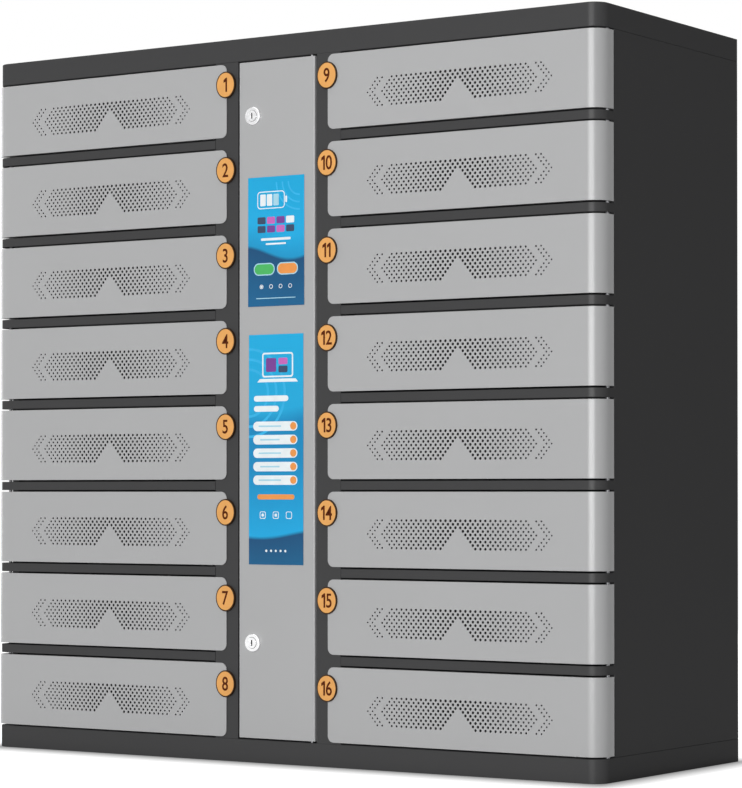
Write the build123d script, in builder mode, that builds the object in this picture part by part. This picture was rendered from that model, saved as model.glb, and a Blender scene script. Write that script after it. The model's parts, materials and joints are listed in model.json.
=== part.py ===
from build123d import *

import os

# Laptop charging cabinet: two columns of lockable bays beside a tall service door.
# X runs to the right as one faces the cabinet, Y runs to the back, Z runs up.
# The origin is in the middle of the footprint, on the floor.

# Overall sizes of the painted carcass, in millimetres
cabinet_width = 1010.0
cabinet_depth = 390.0
cabinet_height = 1000.0
rows = 8

# Sheet thicknesses
carcass_sheet = 1.5
door_sheet = 1.2

# Heights of the bands and rails, and the gap above and below each door
band_height = 31.5
rail_height = 12.0
door_gap = 2.5

# Service door and the two posts beside it
service_door_width = 127.0
service_side_gap = 2.6
post_width = 39.0
post_inner_return = 18.0
post_outer_return = 25.0
door_lap = 20.0
lap_clearance = 0.4

# Bay doors
door_corner_radius = 22.5
door_edge_radius = 9.0
door_return = 34.0
door_flange = 14.0
stile_clearance = 3.0
lug_width = 18.0
lug_slope = 14.0

# Hinge pins of the bay doors, measured from the door's side and front faces
pin_diameter = 5.0
pin_from_side = 6.5
pin_from_front = 28.5
pin_engagement = 3.0
pin_running_clearance = 0.08
pin_seat_clearance = 0.02

# Latch tongue on each bay door and the slot that it enters
tongue_thickness = 2.0
tongue_height = 16.0
tongue_depth = 22.0
tongue_from_lap_edge = 10.0
tongue_window = (7.0, 8.0)
tongue_window_from_root = 13.6
tongue_slot_width = 7.0
tongue_slot_height = 20.0

# Electric latch housings behind the posts
latch_width = 21.0
latch_depth = 48.0
latch_height = 60.0
latch_pocket_depth = 26.0
latch_nose = 8.0

# Number discs, a little taller than wide
disc_size = (32.0, 37.0)
disc_thickness = 3.2
disc_below_door_top = 28.5

# Sides, back, bay partitions and shelves
side_panel_setback = 37.0
side_front_flange = 10.0
side_rear_flange = 20.0
partition_sheet = 1.2
partition_inset = 1.5
partition_flange = 15.0
shelf_sheet = 1.2
shelf_side_clearance = 0.2
back_panel_clearance = 1.0

# Openings in the back panel
vent_width = 130.0
vent_height = 4.0
vent_pitch_x = 170.0
vent_below_shelf = 30.0
filter_size = (320.0, 16.0, 2.0)
wall_hole_diameter = 9.0
wall_hole_spacing_x = 160.0
wall_hole_spacing_z = 840.0

# Charging outlet in each bay
outlet_size = (40.0, 24.0)
outlet_proud = 2.5
outlet_body = (32.0, 18.0, 14.0)
outlet_clearance = 0.3
outlet_from_back = 60.0
usb_slot = (9.0, 3.3, 7.0)

# Service door details
service_flange = 14.0
service_fold_radius = 2.0
service_pin_diameter = 4.0
service_pin_from_edge = 8.0
service_pin_from_front = 6.0

# Touch screen and graphic panel on the service door
screen_size = (94.0, 178.0)
screen_bottom = 627.6
screen_thickness = 1.0
screen_window_margin = 3.0
module_size = (104.0, 188.0)
module_depth = 10.0
module_clearance = 0.5
graphic_size = (91.0, 316.0)
graphic_bottom = 272.8
graphic_thickness = 0.8
panel_offset_x = -0.5

# Key locks on the service door
lock_from_edge = 25.0
lock_heights = {"key_lock_lower": 165.0, "key_lock_upper": 891.0}
bezel_diameter = 25.0
bezel_thickness = 4.2
bezel_chamfer = 0.9
barrel_diameter = 19.0
barrel_hole_clearance = 0.15
plug_diameter = 15.0
plug_clearance = 0.05
plug_proud = 0.8
keyway = (2.2, 8.0, 6.0)
nut_size = 24.0
nut_thickness = 4.0
cam_length = 36.0
cam_width = 12.0
cam_thickness = 2.5
cam_clearance = 1.0
cam_barrel_gap = 0.5
cam_screw = (9.0, 3.0)

# Electronics in the service bay
tray_bottom = 130.0
tray_height = 720.0
tray_from_back = 130.0
tray_flange = 12.0
tray_sheet = 1.5
supply_size = (90.0, 38.0, 180.0)
supply_spacing_x = 98.0
supply_spacing_z = 205.0
supply_centre_z = 345.0
supply_terminal = (12.0, 22.0)
board_size = (170.0, 210.0)
board_thickness = 1.6
board_centre_z = 710.0
board_standoff = (7.0, 10.0)
board_margin = 8.0
relay_size = (14.0, 18.0, 15.0)
relay_pitch = (36.0, 24.0)

# Mains inlet, low on the back panel
inlet_height = 62.0
inlet_flange = (50.0, 32.0, 2.0)
inlet_flange_radius = 4.0
inlet_body = (46.0, 27.0, 28.0)
inlet_recess = (24.4, 16.6, 20.0)
inlet_corner = 4.5
inlet_pin = (2.0, 4.0, 14.0)
inlet_pin_offsets = ((-7.0, -1.0), (0.0, 2.0), (7.0, -1.0))
inlet_clearance = 0.3

# Places worked out from the sizes above
half_width = cabinet_width / 2
door_proud = door_sheet + lap_clearance
lock_reach = door_proud + bezel_thickness + plug_proud
front = -(cabinet_depth + inlet_flange[2] + lock_reach) / 2 + lock_reach
back = front + cabinet_depth
door_face = front - door_proud
door_side = half_width + door_proud
carcass_radius = door_corner_radius - door_proud
cap_bottom = cabinet_height - band_height
upright_height = cap_bottom - band_height

row_space = cabinet_height - 2 * (band_height + door_gap)
door_height = (row_space - (rows - 1) * (rail_height + 2 * door_gap)) / rows
row_pitch = door_height + rail_height + 2 * door_gap

post_inner = service_door_width / 2 + service_side_gap
post_outer = post_inner + post_width
lap_edge = post_outer - door_lap
stile_x = post_outer + stile_clearance
tongue_x = lap_edge + tongue_from_lap_edge
pin_x = door_side - pin_from_side
pin_y = door_face + pin_from_front
rail_start = post_outer + lap_clearance

side_front = front + side_panel_setback
side_inner = half_width - carcass_sheet
back_flange_front = back - 2 * carcass_sheet
back_panel_front = back - carcass_sheet
partition_outer = post_outer - partition_inset
partition_inner = partition_outer - partition_sheet
shelf_front = side_front + carcass_sheet
bay_centre_x = (partition_outer + side_inner) / 2

service_bottom = band_height + door_gap
service_height = cabinet_height - 2 * service_bottom
service_edge = service_door_width / 2
service_pin_x = service_edge - service_pin_from_edge
service_pin_y = door_face + service_pin_from_front
lock_x = -service_edge + lock_from_edge
cam_front = front + post_inner_return + cam_clearance
tray_front = back - tray_from_back


def door_bottom(row):
    """Height of the lower edge of the door in a row, counted from the top row, 0."""
    return cap_bottom - door_gap - door_height - row * row_pitch


def rail_bottom(row):
    """Height of the lower face of the rail under the door in a row."""
    return door_bottom(row) - door_gap - rail_height


def upright(y):
    """Upright plane at depth y, seen from the front: its normal points forwards."""
    return Plane.XZ.offset(-y)


def band_plan(bottom, inset):
    """Plan of the carcass at a height, with its rounded front corners, inset by a wall."""
    side = half_width - inset
    rear = back - inset
    with BuildSketch(Plane.XY.offset(bottom)) as plan:
        with BuildLine():
            edge = FilletPolyline(
                (-side, rear),
                (-side, front + inset),
                (side, front + inset),
                (side, rear),
                radius=carcass_radius - inset,
            )
            Line(edge @ 1, edge @ 0)
        make_face()
    return plan.sketch


def save(piece, name):
    piece.part.label = name
    export_step(piece.part, f"parts/{name}.step")


# Top cap: a shallow pan, open below, whose skirt is the dark band over the doors
def make_top_cap():
    with BuildPart() as cap:
        extrude(band_plan(cap_bottom, 0), amount=band_height)
        hollow = band_plan(cap_bottom, carcass_sheet)
        extrude(hollow, amount=band_height - carcass_sheet, mode=Mode.SUBTRACT)
    return cap


# Base pan: the same pan the other way up, standing flat on the floor
def make_base_pan():
    with BuildPart() as pan:
        extrude(band_plan(0, 0), amount=band_height)
        hollow = band_plan(carcass_sheet, carcass_sheet)
        extrude(hollow, amount=band_height - carcass_sheet, mode=Mode.SUBTRACT)
    return pan


# Decks: flat sheets inside the skirts, the ceiling and the floor of the bays
def make_deck(bottom):
    with BuildPart() as deck:
        extrude(band_plan(bottom, carcass_sheet), amount=carcass_sheet)
    return deck


# Side panel, folded in at the front as a jamb and at the rear for the back panel
def make_side_panel(hand):
    with BuildPart() as panel:
        with BuildSketch(Plane.XY.offset(band_height)):
            with BuildLine():
                Polyline(
                    (half_width, side_front),
                    (half_width, back),
                    (side_inner, back),
                    (side_inner, back_panel_front),
                    (side_inner - side_rear_flange, back_panel_front),
                    (side_inner - side_rear_flange, back_flange_front),
                    (side_inner, back_flange_front),
                    (side_inner, shelf_front),
                    (side_inner - side_front_flange, shelf_front),
                    (side_inner - side_front_flange, side_front),
                    close=True,
                )
            make_face()
        extrude(amount=upright_height)
        if hand == "left":
            mirror(about=Plane.YZ, mode=Mode.REPLACE)
    return panel


# Back panel with vents for each bay, wall fixing holes and the inlet's cut-out
def make_back_panel():
    panel_width = 2 * (side_inner - back_panel_clearance)
    panel_height = upright_height - 2 * back_panel_clearance
    with BuildPart() as panel:
        with BuildSketch(upright(back_panel_front)):
            with Locations((0, cabinet_height / 2)):
                Rectangle(panel_width, panel_height)
            for row in range(rows):
                vent_z = door_bottom(row) + door_height - vent_below_shelf
                with Locations((-bay_centre_x, vent_z), (bay_centre_x, vent_z)):
                    with GridLocations(vent_pitch_x, 1, 2, 1):
                        Rectangle(vent_width, vent_height, mode=Mode.SUBTRACT)
            with Locations((0, cabinet_height / 2)):
                with GridLocations(wall_hole_spacing_x, wall_hole_spacing_z, 2, 2):
                    Circle(wall_hole_diameter / 2, mode=Mode.SUBTRACT)
            with Locations((0, inlet_height)):
                hole_width = inlet_body[0] + 2 * inlet_clearance
                hole_height = inlet_body[1] + 2 * inlet_clearance
                Rectangle(hole_width, hole_height, mode=Mode.SUBTRACT)
        extrude(amount=-carcass_sheet)
    return panel


# Dust filters: felt strips inside the back panel, one over the two vents of each bay
def make_vent_filters():
    filter_width, filter_height, filter_thickness = filter_size
    with BuildPart() as filters:
        with BuildSketch(upright(back_panel_front)):
            for row in range(rows):
                vent_z = door_bottom(row) + door_height - vent_below_shelf
                with Locations((-bay_centre_x, vent_z), (bay_centre_x, vent_z)):
                    Rectangle(filter_width, filter_height)
        extrude(amount=filter_thickness)
    return filters


# Post beside the service door: the bay doors lap its face and latch through its slots
def make_post(hand):
    inner_wall = post_inner + carcass_sheet
    outer_wall = partition_inner - carcass_sheet
    with BuildPart() as post:
        with BuildSketch(Plane.XY.offset(band_height)):
            with BuildLine():
                Polyline(
                    (post_inner, front),
                    (post_outer, front),
                    (post_outer, front + carcass_sheet),
                    (partition_inner, front + carcass_sheet),
                    (partition_inner, front + post_outer_return),
                    (outer_wall, front + post_outer_return),
                    (outer_wall, front + carcass_sheet),
                    (inner_wall, front + carcass_sheet),
                    (inner_wall, front + post_inner_return),
                    (post_inner, front + post_inner_return),
                    close=True,
                )
            make_face()
        extrude(amount=upright_height)
        with BuildSketch(upright(front)):
            for row in range(rows):
                with Locations((tongue_x, door_bottom(row) + door_height / 2)):
                    Rectangle(tongue_slot_width, tongue_slot_height)
        extrude(amount=-carcass_sheet, mode=Mode.SUBTRACT)
        if hand == "left":
            mirror(about=Plane.YZ, mode=Mode.REPLACE)
    return post


# Rails between the doors: a folded angle that wraps round the corner, held on the rod
def make_door_rails():
    flange_end = side_inner - side_front_flange
    with BuildPart() as rails:
        for row in range(rows - 1):
            bottom = rail_bottom(row)
            with BuildSketch(Plane.XY.offset(bottom)):
                with BuildLine():
                    FilletPolyline(
                        (rail_start, front),
                        (half_width, front),
                        (half_width, side_front),
                        radius=carcass_radius,
                    )
                    offset(amount=carcass_sheet, side=Side.LEFT)
                make_face()
            extrude(amount=rail_height - carcass_sheet)
            with BuildSketch(Plane.XY.offset(bottom + rail_height - carcass_sheet)):
                with BuildLine():
                    edge = FilletPolyline(
                        (rail_start, front),
                        (half_width, front),
                        (half_width, side_front),
                        radius=carcass_radius,
                    )
                    Polyline(
                        edge @ 1,
                        (flange_end, side_front),
                        (flange_end, shelf_front),
                        (rail_start, shelf_front),
                        edge @ 0,
                    )
                make_face()
                with Locations((pin_x, pin_y)):
                    Circle(pin_diameter / 2 + pin_seat_clearance, mode=Mode.SUBTRACT)
            extrude(amount=carcass_sheet)
        mirror(about=Plane.YZ)
    return rails


# Partition between the bays and the service bay, with a cut-out for each outlet
def make_partition(hand):
    outlet_y = back - outlet_from_back
    with BuildPart() as partition:
        with BuildSketch(Plane.XY.offset(band_height)):
            with BuildLine():
                Polyline(
                    (partition_inner, front + carcass_sheet),
                    (partition_outer, front + carcass_sheet),
                    (partition_outer, back_panel_front),
                    (partition_outer - partition_flange, back_panel_front),
                    (partition_outer - partition_flange, back_panel_front - partition_sheet),
                    (partition_inner, back_panel_front - partition_sheet),
                    close=True,
                )
            make_face()
        extrude(amount=upright_height)
        with BuildSketch(Plane.YZ.offset(partition_inner)):
            for row in range(rows):
                with Locations((outlet_y, door_bottom(row) + door_height / 2)):
                    hole_width = outlet_body[0] + 2 * outlet_clearance
                    hole_height = outlet_body[1] + 2 * outlet_clearance
                    Rectangle(hole_width, hole_height)
        extrude(amount=partition_sheet, mode=Mode.SUBTRACT)
        if hand == "left":
            mirror(about=Plane.YZ, mode=Mode.REPLACE)
    return partition


# Bay shelves: flat sheets with a lip folded down at the front and at the rear
def make_shelves():
    left_edge = partition_outer + shelf_side_clearance
    shelf_width = side_inner - shelf_side_clearance - left_edge
    shelf_depth = back_flange_front - shelf_front
    with BuildPart() as shelves:
        with BuildSketch(Plane.YZ.offset(left_edge)):
            for row in range(rows - 1):
                bottom = rail_bottom(row)
                with Locations((shelf_front, bottom)):
                    corner = (Align.MIN, Align.MIN)
                    Rectangle(shelf_depth, rail_height, align=corner)
                with Locations((shelf_front + shelf_sheet, bottom)):
                    recess_depth = shelf_depth - 2 * shelf_sheet
                    recess_height = rail_height - shelf_sheet
                    Rectangle(recess_depth, recess_height, align=corner, mode=Mode.SUBTRACT)
        extrude(amount=shelf_width)
        mirror(about=Plane.YZ)
    return shelves


# Hinge pins: a full-height rod at each outer corner, two studs for the service door
def make_hinge_pins():
    stud_length = door_gap + door_sheet + pin_engagement
    with BuildPart() as pins:
        with BuildSketch(Plane.XY.offset(band_height)):
            with Locations((pin_x, pin_y), (-pin_x, pin_y)):
                Circle(pin_diameter / 2)
        extrude(amount=upright_height)
        for bottom in (band_height, cap_bottom - stud_length):
            with BuildSketch(Plane.XY.offset(bottom)):
                with Locations((service_pin_x, service_pin_y)):
                    Circle(service_pin_diameter / 2)
            extrude(amount=stud_length)
    return pins


# Bay door: one folded sheet that wraps round the outer corner and carries its hinge
def make_door(number):
    row = (number - 1) % rows
    bottom = door_bottom(row)
    inner_face = door_face + door_sheet
    inner_side = door_side - door_sheet
    return_end = door_face + door_return
    flange_end = door_face + door_flange
    lug_start = pin_x - lug_width / 2
    with BuildPart() as door:
        with BuildSketch(Plane.XY.offset(bottom)):
            with BuildLine():
                FilletPolyline(
                    (lap_edge, door_face),
                    (door_side, door_face),
                    (door_side, return_end),
                    radius=door_corner_radius,
                )
                offset(amount=door_sheet, side=Side.LEFT)
            make_face()
        extrude(amount=door_height)
        fillet(door.edges().filter_by(Axis.Y).group_by(Axis.X)[0], radius=door_edge_radius)
        for flange_bottom in (bottom, bottom + door_height - door_sheet):
            with BuildSketch(Plane.XY.offset(flange_bottom)):
                with BuildLine():
                    edge = FilletPolyline(
                        (stile_x, inner_face),
                        (inner_side, inner_face),
                        (inner_side, return_end),
                        radius=door_corner_radius - door_sheet,
                    )
                    Polyline(
                        edge @ 1,
                        (lug_start, return_end),
                        (lug_start - lug_slope, flange_end),
                        (stile_x, flange_end),
                        edge @ 0,
                    )
                make_face()
                with Locations((pin_x, pin_y)):
                    Circle(pin_diameter / 2 + pin_running_clearance, mode=Mode.SUBTRACT)
            extrude(amount=door_sheet)
        with BuildSketch(Plane.XY.offset(bottom)):
            with Locations((stile_x, inner_face)):
                corner = (Align.MIN, Align.MIN)
                Rectangle(door_sheet, door_flange - door_sheet, align=corner)
        extrude(amount=door_height)
        with BuildSketch(Plane.YZ.offset(tongue_x)):
            with Locations((inner_face, bottom + door_height / 2)):
                Rectangle(tongue_depth, tongue_height, align=(Align.MIN, Align.CENTER))
            window_y = inner_face + tongue_window_from_root
            with Locations((window_y, bottom + door_height / 2)):
                Rectangle(*tongue_window, mode=Mode.SUBTRACT)
        extrude(amount=tongue_thickness / 2, both=True)
        if number <= rows:
            mirror(about=Plane.YZ, mode=Mode.REPLACE)
    return door


# Number disc: it sits on the door's free edge and overhangs the post
def make_number_disc(number):
    row = (number - 1) % rows
    disc_x = -lap_edge if number <= rows else lap_edge
    disc_z = door_bottom(row) + door_height - disc_below_door_top
    with BuildPart() as disc:
        with BuildSketch(upright(door_face)):
            with Locations((disc_x, disc_z)):
                Ellipse(disc_size[0] / 2, disc_size[1] / 2)
        extrude(amount=disc_thickness)
    return disc


# Electric latches: sealed housings behind the posts, open where the tongue enters
def make_latch_housings():
    latch_outer = partition_inner - carcass_sheet
    latch_front = front + carcass_sheet
    with BuildPart() as latches:
        for row in range(rows):
            centre_z = door_bottom(row) + door_height / 2
            with BuildSketch(Plane.XY.offset(centre_z - latch_height / 2)):
                with BuildLine():
                    Polyline(
                        (latch_outer, latch_front),
                        (latch_outer, latch_front + latch_depth),
                        (latch_outer - latch_width + latch_nose, latch_front + latch_depth),
                        (latch_outer - latch_width, latch_front + latch_depth - latch_nose),
                        (latch_outer - latch_width, latch_front),
                        close=True,
                    )
                make_face()
            extrude(amount=latch_height)
            with BuildSketch(upright(latch_front)):
                with Locations((tongue_x, centre_z)):
                    Rectangle(tongue_slot_width, tongue_slot_height)
            extrude(amount=-latch_pocket_depth, mode=Mode.SUBTRACT)
        mirror(about=Plane.YZ)
    return latches


# Charging outlets: a face plate in each bay with one slot-shaped socket
def make_charging_outlets():
    outlet_y = back - outlet_from_back
    with BuildPart() as outlets:
        for row in range(rows):
            centre = (outlet_y, door_bottom(row) + door_height / 2)
            with BuildSketch(Plane.YZ.offset(partition_outer)):
                with Locations(centre):
                    Rectangle(*outlet_size)
            extrude(amount=outlet_proud)
            with BuildSketch(Plane.YZ.offset(partition_outer)):
                with Locations(centre):
                    Rectangle(outlet_body[0], outlet_body[1])
            extrude(amount=-outlet_body[2])
            with BuildSketch(Plane.YZ.offset(partition_outer + outlet_proud)):
                with Locations(centre):
                    Rectangle(usb_slot[0], usb_slot[1])
            extrude(amount=-usb_slot[2], mode=Mode.SUBTRACT)
        mirror(about=Plane.YZ)
    return outlets


# Mounting tray for the electronics, folded forwards at both sides
def make_electronics_tray():
    half_tray = partition_inner - shelf_side_clearance
    with BuildPart() as tray:
        with BuildSketch(Plane.XY.offset(tray_bottom)):
            with Locations((0, tray_front)):
                Rectangle(2 * half_tray, tray_flange, align=(Align.CENTER, Align.MAX))
            with Locations((0, tray_front - tray_sheet)):
                inner_width = 2 * (half_tray - tray_sheet)
                recess = tray_flange - tray_sheet
                align = (Align.CENTER, Align.MAX)
                Rectangle(inner_width, recess, align=align, mode=Mode.SUBTRACT)
        extrude(amount=tray_height)
    return tray


# Power supplies on the tray, each with a lowered terminal end
def make_power_supplies():
    supply_width, supply_depth, supply_height = supply_size
    terminal_depth, terminal_height = supply_terminal
    face = tray_front - tray_sheet
    with BuildPart() as supplies:
        with BuildSketch(upright(face)):
            with Locations((0, supply_centre_z)):
                with GridLocations(supply_spacing_x, supply_spacing_z, 2, 2):
                    Rectangle(supply_width, supply_height)
        extrude(amount=supply_depth)
        with BuildSketch(upright(face - supply_depth)):
            with Locations((0, supply_centre_z - (supply_height - terminal_height) / 2)):
                with GridLocations(supply_spacing_x, supply_spacing_z, 2, 2):
                    Rectangle(supply_width, terminal_height)
        extrude(amount=-terminal_depth, mode=Mode.SUBTRACT)
    return supplies


# Control board on four hexagon posts, with a relay for each latch
def make_control_board():
    board_width, board_height = board_size
    post_size, post_length = board_standoff
    relay_width, relay_height, relay_depth = relay_size
    tray_face = tray_front - tray_sheet
    with BuildPart() as board:
        with BuildSketch(upright(tray_face)):
            with Locations((0, board_centre_z)):
                spacing_x = board_width - 2 * board_margin
                spacing_z = board_height - 2 * board_margin
                with GridLocations(spacing_x, spacing_z, 2, 2):
                    RegularPolygon(post_size / 2, 6, major_radius=False)
        extrude(amount=post_length)
        with BuildSketch(upright(tray_face - post_length)):
            with Locations((0, board_centre_z)):
                Rectangle(board_width, board_height)
        extrude(amount=board_thickness)
        with BuildSketch(upright(tray_face - post_length - board_thickness)):
            with Locations((0, board_centre_z)):
                with GridLocations(relay_pitch[0], relay_pitch[1], 2, rows):
                    Rectangle(relay_width, relay_height)
        extrude(amount=relay_depth)
    return board


# Mains inlet: an earthed appliance socket let into the back panel
def make_mains_inlet():
    recess_width, recess_height, recess_depth = inlet_recess
    pin_width, pin_height, pin_length = inlet_pin
    outer_face = back + inlet_flange[2]
    recess_floor = outer_face - recess_depth
    with BuildPart() as inlet:
        with BuildSketch(upright(back)):
            with Locations((0, inlet_height)):
                RectangleRounded(inlet_flange[0], inlet_flange[1], inlet_flange_radius)
        extrude(amount=-inlet_flange[2])
        with BuildSketch(upright(back)):
            with Locations((0, inlet_height)):
                Rectangle(inlet_body[0], inlet_body[1])
        extrude(amount=inlet_body[2])
        with BuildSketch(upright(outer_face)) as mouth:
            with Locations((0, inlet_height)):
                Rectangle(recess_width, recess_height)
            chamfer(mouth.vertices().group_by(Axis.Z)[-1], length=inlet_corner)
        extrude(amount=recess_depth, mode=Mode.SUBTRACT)
        with BuildSketch(upright(recess_floor)):
            with Locations((0, inlet_height)):
                with Locations(*inlet_pin_offsets):
                    Rectangle(pin_width, pin_height)
        extrude(amount=-pin_length)
    return inlet


# Service door: a tall pan with the screen's window, two lock holes and its pin holes
def make_service_door():
    with BuildPart() as door:
        with BuildSketch(upright(door_face)):
            with Locations((0, cabinet_height / 2)):
                Rectangle(service_door_width, service_height)
        extrude(amount=-service_flange)
        front_edges = door.edges().group_by(Axis.Y)[0]
        fillet(front_edges.filter_by(Axis.Z), radius=service_fold_radius)
        with BuildSketch(upright(door_face + door_sheet)):
            with Locations((0, cabinet_height / 2)):
                inner_width = service_door_width - 2 * door_sheet
                inner_height = service_height - 2 * door_sheet
                Rectangle(inner_width, inner_height)
        extrude(amount=-service_flange, mode=Mode.SUBTRACT)
        with BuildSketch(upright(door_face)):
            with Locations((panel_offset_x, screen_bottom + screen_size[1] / 2)):
                window_width = screen_size[0] - 2 * screen_window_margin
                window_height = screen_size[1] - 2 * screen_window_margin
                Rectangle(window_width, window_height)
            for height in lock_heights.values():
                with Locations((lock_x, height)):
                    Circle(barrel_diameter / 2 + barrel_hole_clearance)
        extrude(amount=-door_sheet, mode=Mode.SUBTRACT)
        with BuildSketch(Plane.XY.offset(service_bottom)):
            with Locations((service_pin_x, service_pin_y)):
                Circle(service_pin_diameter / 2 + pin_running_clearance)
        extrude(amount=service_height, mode=Mode.SUBTRACT)
    return door


# Touch screen glass, bonded to the door's face over the window
def make_touch_screen():
    with BuildPart() as screen:
        with BuildSketch(upright(door_face)):
            with Locations((panel_offset_x, screen_bottom + screen_size[1] / 2)):
                Rectangle(*screen_size)
        extrude(amount=screen_thickness)
    return screen


# Display module: its raised front fills the window and its body sits behind the sheet
def make_display_module():
    inner_face = door_face + door_sheet
    with BuildPart() as module:
        with BuildSketch(upright(inner_face)):
            with Locations((panel_offset_x, screen_bottom + screen_size[1] / 2)):
                Rectangle(*module_size)
        extrude(amount=-module_depth)
        with BuildSketch(upright(inner_face)):
            with Locations((panel_offset_x, screen_bottom + screen_size[1] / 2)):
                margin = screen_window_margin + module_clearance
                Rectangle(screen_size[0] - 2 * margin, screen_size[1] - 2 * margin)
        extrude(amount=door_sheet)
    return module


# Graphic panel: a thin printed sheet on the door's face
def make_graphic_panel():
    with BuildPart() as panel:
        with BuildSketch(upright(door_face)):
            with Locations((panel_offset_x, graphic_bottom + graphic_size[1] / 2)):
                Rectangle(*graphic_size)
        extrude(amount=graphic_thickness)
    return panel


# Lock collars: bezel and barrel through the door, and the hexagon nut behind it
def make_lock_collars():
    inner_face = door_face + door_sheet
    barrel_end = cam_front - cam_barrel_gap
    with BuildPart() as collars:
        for height in lock_heights.values():
            with BuildSketch(upright(door_face)):
                with Locations((lock_x, height)):
                    Circle(bezel_diameter / 2)
            extrude(amount=bezel_thickness)
        chamfer(collars.edges().group_by(Axis.Y)[0], length=bezel_chamfer)
        for height in lock_heights.values():
            with BuildSketch(upright(door_face)):
                with Locations((lock_x, height)):
                    Circle(barrel_diameter / 2)
            extrude(amount=door_face - barrel_end)
            with BuildSketch(upright(door_face - bezel_thickness)):
                with Locations((lock_x, height)):
                    Circle(plug_diameter / 2 + plug_clearance)
            extrude(amount=door_face - bezel_thickness - barrel_end, mode=Mode.SUBTRACT)
            with BuildSketch(upright(inner_face)):
                with Locations((lock_x, height)):
                    RegularPolygon(nut_size / 2, 6, major_radius=False)
                    Circle(barrel_diameter / 2 + pin_seat_clearance, mode=Mode.SUBTRACT)
            extrude(amount=-nut_thickness)
    return collars


# Lock plug: keyway in front, cam and its screw behind, the cam hanging down when open
def make_lock_plug(height):
    plug_face = door_face - bezel_thickness - plug_proud
    with BuildPart() as plug:
        with BuildSketch(upright(plug_face)):
            with Locations((lock_x, height)):
                Circle(plug_diameter / 2)
        extrude(amount=plug_face - cam_front)
        with BuildSketch(upright(plug_face)):
            with Locations((lock_x, height)):
                Rectangle(keyway[0], keyway[1])
        extrude(amount=-keyway[2], mode=Mode.SUBTRACT)
        with BuildSketch(upright(cam_front)):
            with Locations((lock_x, height)):
                Circle(cam_width / 2)
                Rectangle(cam_width, cam_length, align=(Align.CENTER, Align.MAX))
        extrude(amount=-cam_thickness)
        with BuildSketch(upright(cam_front + cam_thickness)):
            with Locations((lock_x, height)):
                RegularPolygon(cam_screw[0] / 2, 6, major_radius=False)
        extrude(amount=-cam_screw[1])
    return plug


os.makedirs("parts", exist_ok=True)

save(make_top_cap(), "top_cap")
save(make_base_pan(), "base_pan")
save(make_deck(cap_bottom), "upper_deck")
save(make_deck(band_height - carcass_sheet), "lower_deck")
save(make_back_panel(), "back_panel")
save(make_vent_filters(), "vent_filters")
save(make_door_rails(), "door_rails")
save(make_shelves(), "bay_shelves")
save(make_hinge_pins(), "hinge_pins")
save(make_latch_housings(), "latch_housings")
save(make_charging_outlets(), "charging_outlets")
save(make_electronics_tray(), "electronics_tray")
save(make_power_supplies(), "power_supplies")
save(make_control_board(), "control_board")
save(make_mains_inlet(), "mains_inlet")
save(make_service_door(), "service_door")
save(make_touch_screen(), "touch_screen")
save(make_display_module(), "display_module")
save(make_graphic_panel(), "graphic_panel")
save(make_lock_collars(), "lock_collars")

for hand in ("left", "right"):
    save(make_side_panel(hand), f"side_panel_{hand}")
    save(make_post(hand), f"post_{hand}")
    save(make_partition(hand), f"partition_{hand}")

for lock_name, lock_height in lock_heights.items():
    save(make_lock_plug(lock_height), lock_name)

for door_number in range(1, 2 * rows + 1):
    save(make_door(door_number), f"door_{door_number:02d}")
    save(make_number_disc(door_number), f"number_disc_{door_number:02d}")
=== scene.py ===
import bmesh
import bpy
import json
import math
from collections import namedtuple
from mathutils import Matrix, Vector


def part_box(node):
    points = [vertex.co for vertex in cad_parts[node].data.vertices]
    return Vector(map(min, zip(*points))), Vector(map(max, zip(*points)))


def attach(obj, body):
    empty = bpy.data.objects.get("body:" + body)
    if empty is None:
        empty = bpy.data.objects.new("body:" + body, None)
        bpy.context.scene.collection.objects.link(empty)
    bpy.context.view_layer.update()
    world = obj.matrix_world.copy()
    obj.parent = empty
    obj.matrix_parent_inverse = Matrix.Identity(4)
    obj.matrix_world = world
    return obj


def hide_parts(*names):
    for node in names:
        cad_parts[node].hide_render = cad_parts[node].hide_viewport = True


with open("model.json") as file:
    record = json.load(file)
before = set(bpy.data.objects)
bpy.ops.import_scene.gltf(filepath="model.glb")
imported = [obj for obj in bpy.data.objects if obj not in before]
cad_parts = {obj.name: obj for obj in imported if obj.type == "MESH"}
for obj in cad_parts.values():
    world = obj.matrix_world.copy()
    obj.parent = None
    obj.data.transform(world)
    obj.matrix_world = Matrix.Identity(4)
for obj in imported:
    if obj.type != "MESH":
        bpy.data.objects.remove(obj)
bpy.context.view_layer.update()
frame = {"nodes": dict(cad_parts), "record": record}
nodes = frame["nodes"]

MM = 0.001
ROWS = 8
DOORS = range(1, 2 * ROWS + 1)

# Field of round holes in each bay door, in millimetres. Its reach to each side and the hole that
# is left out near an end count in pitches, and rows count from the top. The holes shrink from
# the centre's radius to the end's, slowly at first as the taper says.
HOLE_ROWS = 9
HOLE_PITCH_X = 7.675
HOLE_PITCH_Z = 4.6
HOLE_MIDDLE_ROW = 5
HOLE_FIELD_REACH = 18.5
HOLE_FIELD_X = 292.0
HOLE_FIELD_DROP = 5.8
HOLE_NOTCH_ROW = 3
HOLE_LEFT_OUT = 2
HOLE_CENTRE_RADIUS = 1.95
HOLE_END_RADIUS = 1.17
HOLE_TAPER = 1.5
HOLE_SIDES = 12
HOLE_FROM = -2
HOLE_TO = 3

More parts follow.
